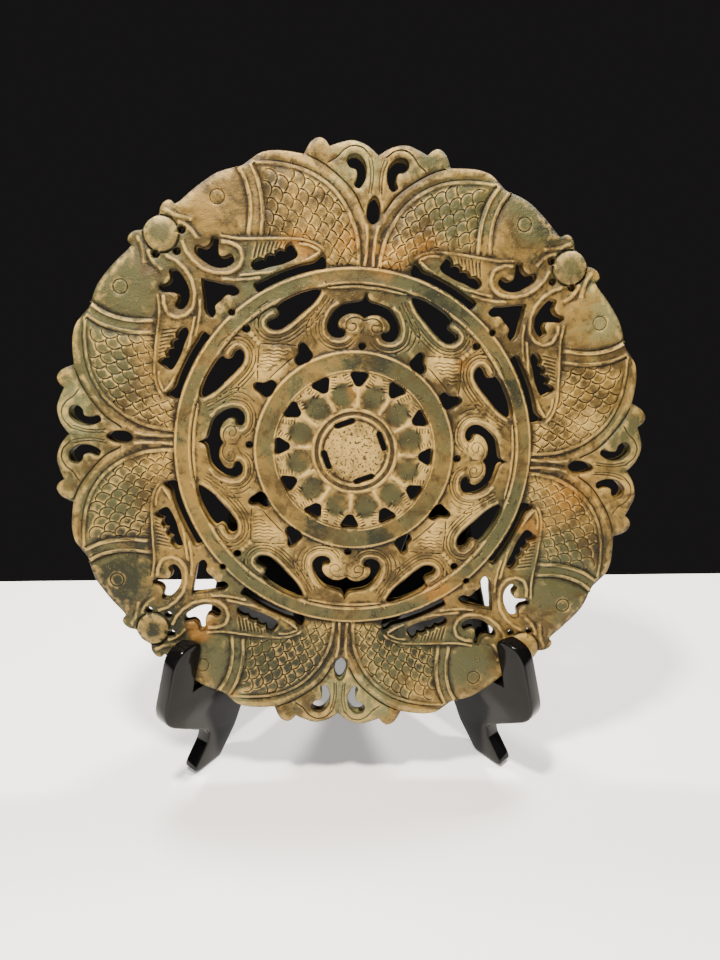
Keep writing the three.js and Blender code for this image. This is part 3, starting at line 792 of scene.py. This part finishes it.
def carved_plate():
    surface = plate_surface()
    loops = [rim_loop(), *SLOTS, *(placed(loop, s) for loop, sectors in OPENINGS for s in sectors)]
    numbers, count = [], 0
    for loop in loops:
        numbers.append(list(range(count, count + len(loop))))
        count += len(loop)
    border = np.vstack(loops)
    front = np.vstack([border, surface.at])
    inner = lattice(BACK_STEP)
    inner = inner[clear_of(inner, border, BACK_STEP * 0.5)]
    faces = triangles(front, numbers)
    back_faces = triangles(np.vstack([border, inner]), numbers)[:, ::-1]

    # The stone's edges are painted a little cream, partly as wear, partly as painted highlight on the rolled
    # edge.
    edge_lift, edge_wear_and_highlight, tool_waves = -0.62, 0.35, 0.09
    lift = np.concatenate([np.full(count, edge_lift), surface.lift])
    height = relief(front) + lift + tool_waves * waviness(front, 6, 26)
    seen = turning(TURN)
    flat = hand_made(front) * RADIUS @ seen
    edge = flat[:count]
    outward = np.vstack([outwards(loop) for loop in loops]) @ seen

    bulge, wall_waves, back_waves = 0.02, 0.2, 0.12
    chamfer_up, chamfer_in = 0.45, 0.4
    top = np.column_stack([flat, GROUND + height * MM])
    middle = np.column_stack([edge + outward * bulge * MM,
                              GROUND * 0.5 + wall_waves * MM * waviness(border, 8, 30)])
    low = np.column_stack([edge, np.full(count, chamfer_up * MM)])
    under = np.column_stack([edge - outward * chamfer_in * MM, np.zeros(count)])
    bottom = np.column_stack([hand_made(inner) * RADIUS @ seen,
                              back_waves * MM * (waviness(inner, 9, 14) + 1) * 0.5])
    levels = np.cumsum([0, len(top), count, count])
    every = np.vstack([faces, walls(numbers, faces, levels), back_faces + levels[3]])

    points = np.vstack([top, middle, low, under, bottom])
    mesh = new_mesh("carved_jade_plate", points.tolist(), every.tolist())
    mesh.transform(plate_matrix())
    # From the relief's shape, crests are painted cream and cuts dark, partly as wear and dirt, partly as
    # painted highlight and shade. The wide hollows give painted shade, darker in the ground between the
    # forms.
    near, wide = hollows(height, faces, 2), hollows(height, faces, 14)
    wear_and_painted_light = np.concatenate([np.full(count, edge_wear_and_highlight), surface.wear_and_painted_light])
    wear_and_painted_light = 0.45 * wear_and_painted_light - np.clip(near / 0.16, -1.2, 1.2) * 0.55
    for name, values, elsewhere in (("wear_and_painted_light", wear_and_painted_light, -0.1), ("painted_hollow_shade", wide / 0.5, 0.2)):
        rest = np.full(3 * count + len(bottom), elsewhere)
        keep_attribute(mesh, name, np.concatenate([np.clip(values, -1, 1), rest]))
    plane = np.vstack([front, border, border, border, inner])
    keep_colours(mesh, plane, np.arange(len(plane)) >= len(front) + count)
    mesh.validate()
    smooth(mesh, 52)
    return new_object("carved_jade_plate", mesh)


def keep_colours(mesh, plane, behind):
    """Where the colour patches lie; they are weaker on the back, which has no pattern."""
    petal = np.where(behind, -1, petal_middles(plane))
    on_petals = {"moss": petal * 0.75, "cream": np.where(petal < 0, 0, (1 - petal) * 0.75)}
    for name, patches in PATCHES.items():
        strength = patch_strength(plane @ turning(TURN), patches) * np.where(behind, 0.4, 1)
        if name in on_petals:
            strength = np.maximum(strength * (petal < 0), on_petals[name])
        keep_attribute(mesh, name, strength)
    radius = np.hypot(*plane.T)
    band = sum(on_ring(radius, ring, 0.01) for ring in (OUTER_RING, INNER_RING))
    keep_attribute(mesh, "band", band * ~behind)


def keep_attribute(mesh, name, values):
    attribute = mesh.attributes.new(name, "FLOAT", "POINT")
    attribute.data.foreach_set("value", np.asarray(values, np.float32))


def smooth(mesh, degrees):
    mesh.polygons.foreach_set("use_smooth", [True] * len(mesh.polygons))
    mesh.set_sharp_from_angle(angle=math.radians(degrees))


# Where the colour changes, seen from the front: x, y and radius in hundredths of RADIUS. More and larger
# moss and dark patches lie low on the left, so the plate is darker towards the lower left.
PATCHES = {
    "moss": [(-62, 71, 9), (-71, -62, 10), (71, 62, 8), (-82, 50, 16), (-84, 30, 14), (-95, 10, 14),
             (-84, -17, 13), (-68, -61, 14), (-46, -75, 15), (-26, -72, 17), (15, -72, 15), (40, -74, 12),
             (71, -44, 14), (61, 80, 13), (35, 80, 12), (27, 98, 8), (27, 50, 15), (-45, 15, 10),
             (93, 5, 12), (50, -30, 12), (-30, 52, 12), (-80, -42, 16), (-40, -40, 12), (10, -88, 12)],
    "pale": [(2, -92, 14), (84, 46, 11), (-95, 14, 11), (0, 93, 10), (-45, -93, 8), (-8, -86, 8)],
    "rust": [(10, 62, 12), (0, 20, 4.5), (22, 68, 9), (36, 30, 5), (62, -28, 8), (-55, -62, 8),
             (30, -50, 7), (-20, 68, 7), (76, -15, 12), (-3, 70, 8)],
    "dark": [(-82, -46, 14), (-28, -74, 19), (-12, -78, 12), (-71, -63, 9), (14, -68, 11), (-26, 86, 5),
             (28, 50, 10), (22, -74, 7), (88, -32, 7), (52, 20, 7), (-62, -60, 17), (10, -30, 5),
             (62, 62, 7), (66, 74, 8), (6, 30, 7), (-75, -30, 10), (-13, -28, 6)],
    "cream": [(0, 0, 16), *[(28.5 * x, 29 * y, 7) for x in (-1, 1) for y in (-1, 1)],
              (42, 5, 10), (40, -20, 8), (-10, -40, 10), (80, 10, 8)],
}


def petal_middles(points):
    """1 in the dished middle of each petal, 0 on the raised stone round it, -1 off the flower."""
    radius = np.hypot(*points.T)
    beside = (1 - into_petal(points)) * radius / 0.2
    away = np.hypot(beside / 0.72, (radius - 0.195) / 0.042)
    return np.where((radius > 0.147) & (radius < INNER_RING[0]), 1 - step_up(away, 0.95, 0.3), -1)


def patch_strength(points, patches):
    """1 in the middle of a patch and fading outwards; patches are in hundredths."""
    strength = np.zeros(len(points))
    for x, y, radius in np.array(patches) / 100:
        away = np.hypot(points[:, 0] - x, points[:, 1] - y) / radius
        strength = np.maximum(strength, np.exp(-away**2))
    return strength


# The stand

def rounded(corners, step=math.radians(9)):
    """A polygon whose corners x, y, radius are rounded, as far as their neighbours leave room."""
    points = []
    count = len(corners)
    for i, (x, y, radius) in enumerate(corners):
        here = np.array([x, y])
        before, after = (np.array(corners[j % count][:2]) - here for j in (i - 1, i + 1))
        lengths = math.hypot(*before), math.hypot(*after)
        between = math.acos(np.clip(before @ after / (lengths[0] * lengths[1]), -1, 1))
        half = (math.pi - between) / 2
        reach = min(radius * math.tan(half), 0.48 * min(lengths))
        if radius == 0:
            points.append(here)
            continue
        start, end = here + before / lengths[0] * reach, here + after / lengths[1] * reach
        for t in np.linspace(0, 1, max(3, round(2 * half / step) + 1)):
            points.append((1 - t) ** 2 * start + 2 * t * (1 - t) * here + t * t * end)
    return points


def arm_profile(ledge, plate_depth, slope, length):
    """Side view of a board: x back along it from the plate's front, y up."""
    a = ARM
    finger_top, upright_top = ledge + a["finger_height"], ledge + a["upright_height"]
    upright = plate_depth + slope * a["upright_height"]
    return rounded([
        (-a["toe_reach"], 0, 0.005),
        (*a["shin"], 0.005),
        (*a["notch"], 0.004),
        (-a["finger_reach"], ledge - a["hook_drop"], 0.014),
        (-a["finger_top_reach"], finger_top, 0.012),
        (slope * a["finger_height"], finger_top, 0.009),
        (0, ledge, 0),
        (plate_depth, ledge, 0),
        (upright, upright_top, 0.007),
        (upright + a["upright_top"], upright_top, 0.008),
        (a["shoulder"][0], ledge + a["shoulder"][1], 0.040),
        (length, a["rear_height"], 0),
        (length, 0, 0),
        (length - a["rear_foot"], 0, 0.003),
        (length - a["rear_foot"] - a["arch_rear"], a["arch_height"], 0.016),
        (a["front_foot"] + a["arch_front"], a["arch_height"], 0.008),
        (*a["instep"], 0.012),
        (a["front_foot"], 0, 0.005),
    ])


def prism(name, outline, low, high):
    """A straight prism on an outline, between two heights."""
    count = len(outline)
    points = [(x, y, z) for z in (low, high) for x, y in outline]
    around = [(i, (i + 1) % count, (i + 1) % count + count, i + count) for i in range(count)]
    mesh = new_mesh(name, points, [tuple(reversed(range(count))), tuple(range(count, 2 * count)), *around])
    with_bmesh(mesh, lambda work: bmesh.ops.recalc_face_normals(work, faces=work.faces))
    return new_object(name, mesh)


def final_mesh(piece):
    """The mesh of an object after its modifiers, or of a curve with its bevel."""
    bpy.context.view_layer.update()
    return bpy.data.meshes.new_from_object(piece.evaluated_get(bpy.context.evaluated_depsgraph_get()))


def with_bmesh(mesh, change):
    work = bmesh.new()
    work.from_mesh(mesh)
    change(work)
    work.to_mesh(mesh)
    work.free()


def moulded_board(name, outline, thickness, bevel):
    """A board with rounded edges: a filled curve with a bevel, as a mesh."""
    line = bpy.data.curves.new(name, "CURVE")
    line.dimensions = "2D"
    line.fill_mode = "BOTH"
    line.extrude = thickness / 2 - bevel
    line.bevel_depth = bevel
    line.bevel_resolution = 3
    line.offset = -bevel
    spline = line.splines.new("POLY")
    spline.points.add(len(outline) - 1)
    for point, (x, y) in zip(spline.points, outline):
        point.co = (x, y, 0, 1)
    spline.use_cyclic_u = True
    shape = new_object(name + "_line", line)
    mesh = final_mesh(shape)
    bpy.data.objects.remove(shape)
    mesh.name = name
    with_bmesh(mesh, lambda work: bmesh.ops.remove_doubles(work, verts=work.verts, dist=1e-6))
    return new_object(name, mesh)


def cut(piece, cutter):
    """Takes a closed cutter out of a piece."""
    change = piece.modifiers.new("cut", "BOOLEAN")
    change.operation = "DIFFERENCE"
    change.solver = "EXACT"
    change.object = cutter
    result = final_mesh(piece)
    piece.modifiers.clear()
    piece.data = result


def stand_arm(name, node, side, plate_place):
    """One board of the stand, cut clear of the plate and mitred against the other board."""
    cos, sin = math.cos(LEAN), math.sin(LEAN)
    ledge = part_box(node)[1].z - ARM["upright_height"]
    up = (ledge + GAP - LIFT) / cos  # along the plate from its lowest point
    seat_y = plate_place.translation.y + (up - RADIUS) * sin - GROUND * cos
    slope = math.tan(LEAN) / math.cos(ARM["splay"])
    depth = GROUND / cos / math.cos(ARM["splay"])
    length = ARM["seat_half"] / math.sin(ARM["splay"])
    past = ARM["thickness"] / math.tan(ARM["splay"])
    outline = arm_profile(ledge, depth, slope, length + past)
    board = moulded_board(name, outline, ARM["thickness"], ARM["bevel"])
    board.data.transform(Matrix.Translation((side * ARM["seat_half"] - OFF_CENTRE, seat_y, 0))
                         @ Matrix.Rotation(math.pi / 2 + side * ARM["splay"], 4, "Z")
                         @ Matrix.Rotation(math.pi / 2, 4, "X"))
    plate_rim = rim_loop()[::2] @ turning(TURN) * (RADIUS + GAP)
    room = prism("room", plate_rim.tolist(), -GAP, GROUND + RELIEF_TOP + GAP)
    room.data.transform(plate_place)
    cut(board, room)
    bpy.data.objects.remove(room)
    mirror_plane = Vector((side * JOINT_GAP / 2 - OFF_CENTRE, 0, 0))

    def mitre(work):
        everything = [*work.verts, *work.edges, *work.faces]
        result = bmesh.ops.bisect_plane(work, geom=everything, plane_co=mirror_plane,
                                        plane_no=Vector((side, 0, 0)), clear_inner=True)
        rim = [e for e in result["geom_cut"] if isinstance(e, bmesh.types.BMEdge)]
        bmesh.ops.contextual_create(work, geom=rim)
        bmesh.ops.recalc_face_normals(work, faces=work.faces)

    with_bmesh(board.data, mitre)
    smooth(board.data, 40)
    return board


# Materials

class Value:
    """A socket of a material, so that shader maths reads as arithmetic."""

    def __init__(self, finish, socket):
        self.finish = finish
        self.socket = socket

    def maths(self, operation, *values):
        return self.finish.node("ShaderNodeMath", {"operation": operation}, dict(enumerate(values)))

    def __add__(self, other):
        return self.maths("ADD", self, other)

    def __sub__(self, other):
        return self.maths("SUBTRACT", self, other)

    def __rsub__(self, other):
        return self.maths("SUBTRACT", other, self)

    def __mul__(self, other):
        return self.maths("MULTIPLY", self, other)

    __radd__ = __add__
    __rmul__ = __mul__

    def between(self, low, high):
        """0 below low, 1 above high, smooth in between."""
        settings = {"interpolation_type": "SMOOTHSTEP"}
        return self.finish.node("ShaderNodeMapRange", settings, {0: self, 1: low, 2: high})


class Finish:
    """A material that is built up node by node."""

    def __init__(self, name):
        self.material = bpy.data.materials.new(name)
        self.material.use_nodes = True
        self.tree = self.material.node_tree
        self.shader = self.tree.nodes["Principled BSDF"]
        self.place = self.node("ShaderNodeTexCoord", output="Object")

    def node(self, kind, settings=None, inputs=None, output=0):
        node = self.tree.nodes.new(kind)
        for key, value in (settings or {}).items():
            setattr(node, key, value)
        for key, value in (inputs or {}).items():
            self.feed(node.inputs[key], value)
        return Value(self, node.outputs[output])

    def feed(self, socket, value):
        if isinstance(value, Value):
            self.tree.links.new(value.socket, socket)
        elif socket.type == "RGBA":
            socket.default_value = (*value, 1.0)
        else:
            socket.default_value = value

    def noise(self, scale, detail=4.0, roughness=0.55, distortion=0.0, place=None):
        """A cloudy pattern, 0 to 1; scale is in repeats for each metre."""
        return self.node("ShaderNodeTexNoise", None, {
            "Vector": place or self.place, "Scale": scale, "Detail": detail, "Roughness": roughness,
            "Distortion": distortion})

    def stretched(self, scale, turn):
        """The object's coordinates, turned and stretched."""
        return self.node("ShaderNodeMapping", None, {"Vector": self.place, "Scale": scale, "Rotation": turn})

    def attribute(self, name):
        return self.node("ShaderNodeAttribute", {"attribute_name": name}, None, "Fac")

    def mix(self, mask, a, b):
        return self.node("ShaderNodeMix", {"data_type": "RGBA"}, {0: mask, 6: a, 7: b}, 2)

    def bump(self, height, distance, strength):
        sockets = {"Height": height, "Distance": distance, "Strength": strength}
        return self.node("ShaderNodeBump", None, sockets)

    def set(self, **sockets):
        for name, value in sockets.items():
            self.feed(self.shader.inputs[name.replace("_", " ")], value)
        return self.material


def aged_jade():
    """Olive stone under an earthy skin: cream where it is rubbed and painted highlight on lit edges, brown
    dirt and painted shade in the cuts and hollows.
    """
    f = Finish("aged_jade")
    brown, tan, moss = (0.072, 0.046, 0.012), (0.270, 0.168, 0.040), (0.079, 0.080, 0.031)
    deep_green, rust, pale_green = (0.012, 0.015, 0.008), (0.30, 0.130, 0.016), (0.20, 0.20, 0.085)
    cream, dirt_and_shade = (0.66, 0.44, 0.135), (0.013, 0.008, 0.003)
    clouds = f.noise(22, 5, 0.6, 0.5) - 0.5
    mottles = f.noise(75, 6, 0.68, 0.7) - 0.5
    flecks = f.noise(320, 3, 0.6) - 0.5
    grain = f.noise(1500, 2, 0.5) - 0.5
    wear_and_painted_light = f.attribute("wear_and_painted_light")
    colour = f.mix((clouds * 3.0 + mottles * 2.6).between(-0.35, 0.35), brown, tan)
    greenish = f.attribute("moss") + f.attribute("band") * 0.35 + mottles * 2.6 - clouds * 1.4 + flecks * 0.5
    colour = f.mix(greenish.between(0.10, 0.75) * 0.9, colour, moss)
    dark = f.attribute("dark") + mottles * 3.2 + flecks * 1.4 - 0.02
    colour = f.mix(dark.between(0.20, 1.00) * 0.85, colour, deep_green)
    rusty = f.attribute("rust") + clouds * 1.5 + mottles * 1.8 + flecks * 0.6
    colour = f.mix(rusty.between(0.50, 1.00) * 0.7, colour, rust)
    pale = f.attribute("pale") + mottles * 2.0 + flecks * 0.8
    colour = f.mix(pale.between(0.35, 0.90) * 0.75, colour, pale_green)
    sandy = f.attribute("cream") + mottles * 1.2 + flecks * 0.8
    colour = f.mix(sandy.between(0.35, 0.95) * 0.75, colour, cream)
    # Painted shade: darker in the broad hollows between the forms.
    low = (f.attribute("painted_hollow_shade") + mottles * 1.2).between(0.15, 0.95)
    colour = f.mix(low * 0.7, colour, dirt_and_shade)
    # Dark in the cuts: partly dirt, partly painted shade.
    sunk_dirt_and_shade = (0.0 - wear_and_painted_light + flecks * 1.2).between(0.12, 0.7)
    colour = f.mix(sunk_dirt_and_shade * 0.85, colour, dirt_and_shade)
    # Cream on crests and lips: partly wear, partly painted highlight.
    rubbed_and_highlit = (wear_and_painted_light + mottles * 1.4 + flecks * 0.9).between(0.30, 1.05)
    colour = f.mix(rubbed_and_highlit * 0.7, colour, cream)
    colour = f.mix(flecks.between(0.09, 0.20) * 0.5, colour, deep_green)
    colour = f.mix((grain + flecks).between(0.18, 0.34) * 0.25, colour, cream)
    rough = 0.56 + 0.5 * flecks + 0.15 * sunk_dirt_and_shade
    height = mottles * 0.45 + flecks * 0.6 + grain * 0.4
    bumps = f.bump(height, 0.0009, 0.9)
    return f.set(Base_Color=colour, Roughness=rough, Specular_IOR_Level=0.28, Normal=bumps)


def moulded_black():
    """Glossy black plastic with a faint flow in its surface, dust and fine scratches."""
    f = Finish("moulded_black")
    flow = f.noise(35, 2, 0.4)
    scratches = f.noise(900, 2, 0.6, 0.0, f.stretched((1.0, 0.12, 0.12), (0.3, 0.5, 0.8)))
    dust = f.noise(2200, 2, 0.5)
    colour = f.mix(dust.between(0.66, 0.78) * 0.25, (0.004, 0.004, 0.0045), (0.06, 0.058, 0.055))
    rough = 0.07 + 0.05 * flow + 0.12 * scratches.between(0.62, 0.75)
    bumps = f.bump(flow + scratches * 0.02, 0.0006, 0.35)
    return f.set(Base_Color=colour, Roughness=rough, Specular_IOR_Level=0.2, Normal=bumps)


def plain(name, colour, roughness, glow=0.0):
    f = Finish(name)
    return f.set(Base_Color=colour, Roughness=roughness, Emission_Color=colour, Emission_Strength=glow)


# Pieces

plate = carved_plate()
plate.data.materials.append(aged_jade())
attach(plate, "root")
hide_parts("jade_plate")

black = moulded_black()
for node, side in (("stand_arm_left", -1), ("stand_arm_right", 1)):
    arm = stand_arm("moulded_" + node, node, side, plate_matrix())
    arm.data.materials.clear()
    arm.data.materials.append(black)
    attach(arm, "root")
    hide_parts(node)

# Floor, light and camera

FLOOR_END = 0.141  # the floor ends this far behind the object's middle, so the openings look dark


def floor():
    near, wide = -2.5, 3.0
    corners = [(-wide, near, 0), (wide, near, 0), (wide, FLOOR_END, 0), (-wide, FLOOR_END, 0)]
    mesh = new_mesh("floor", corners, [(0, 1, 2, 3)])
    mesh.materials.append(plain("pale_floor", (0.94, 0.93, 0.92), 0.6, glow=0.42))
    new_object("floor", mesh)


def soft_light(name, place, aim, size, power, colour):
    lamp = bpy.data.lights.new(name, "AREA")
    lamp.size = size
    lamp.energy = power
    lamp.color = colour
    holder = new_object(name, lamp)
    holder.location = place
    holder.rotation_euler = (Vector(aim) - Vector(place)).to_track_quat("-Z", "Y").to_euler()


def camera():
    """Looks down on the plate from close by, as the photograph does."""
    pitch, yaw, roll = math.radians(24.13), math.radians(-3.08), math.radians(-1.01)
    from_plate = Vector((-0.0138, -0.3152, 0.1252))
    data = bpy.data.cameras.new("camera")
    data.lens = 26.0
    data.sensor_width = 36.0
    data.clip_start = 0.01
    holder = new_object("camera", data)
    turn = (Matrix.Rotation(yaw, 4, "Z") @ Matrix.Rotation(-pitch, 4, "X")
            @ Matrix.Rotation(roll, 4, "Y") @ Matrix.Rotation(math.pi / 2, 4, "X"))
    holder.matrix_world = Matrix.Translation(plate_matrix().translation + from_plate) @ turn
    bpy.context.scene.camera = holder


def dark_surroundings():
    world = bpy.data.worlds.new("studio")
    world.use_nodes = True
    shade = world.node_tree.nodes["Background"]
    shade.inputs["Color"].default_value = (0.012, 0.011, 0.011, 1)
    shade.inputs["Strength"].default_value = 1.0
    bpy.context.scene.world = world


floor()
dark_surroundings()
camera()
soft_light("key", (-0.15, -0.14, 0.84), (0, 0, 0.15), 0.08, 15, (1.0, 0.91, 0.77))
soft_light("fill", (-0.55, -0.9, 0.55), (0, 0, 0.12), 0.7, 1.1, (1.0, 0.95, 0.88))
soft_light("back_left", (-0.40, 0.34, 0.95), (0, -0.02, 0.08), 0.10, 12, (1.0, 0.96, 0.91))
soft_light("back_right", (0.45, 0.30, 0.95), (0, -0.02, 0.08), 0.10, 14, (1.0, 0.96, 0.91))
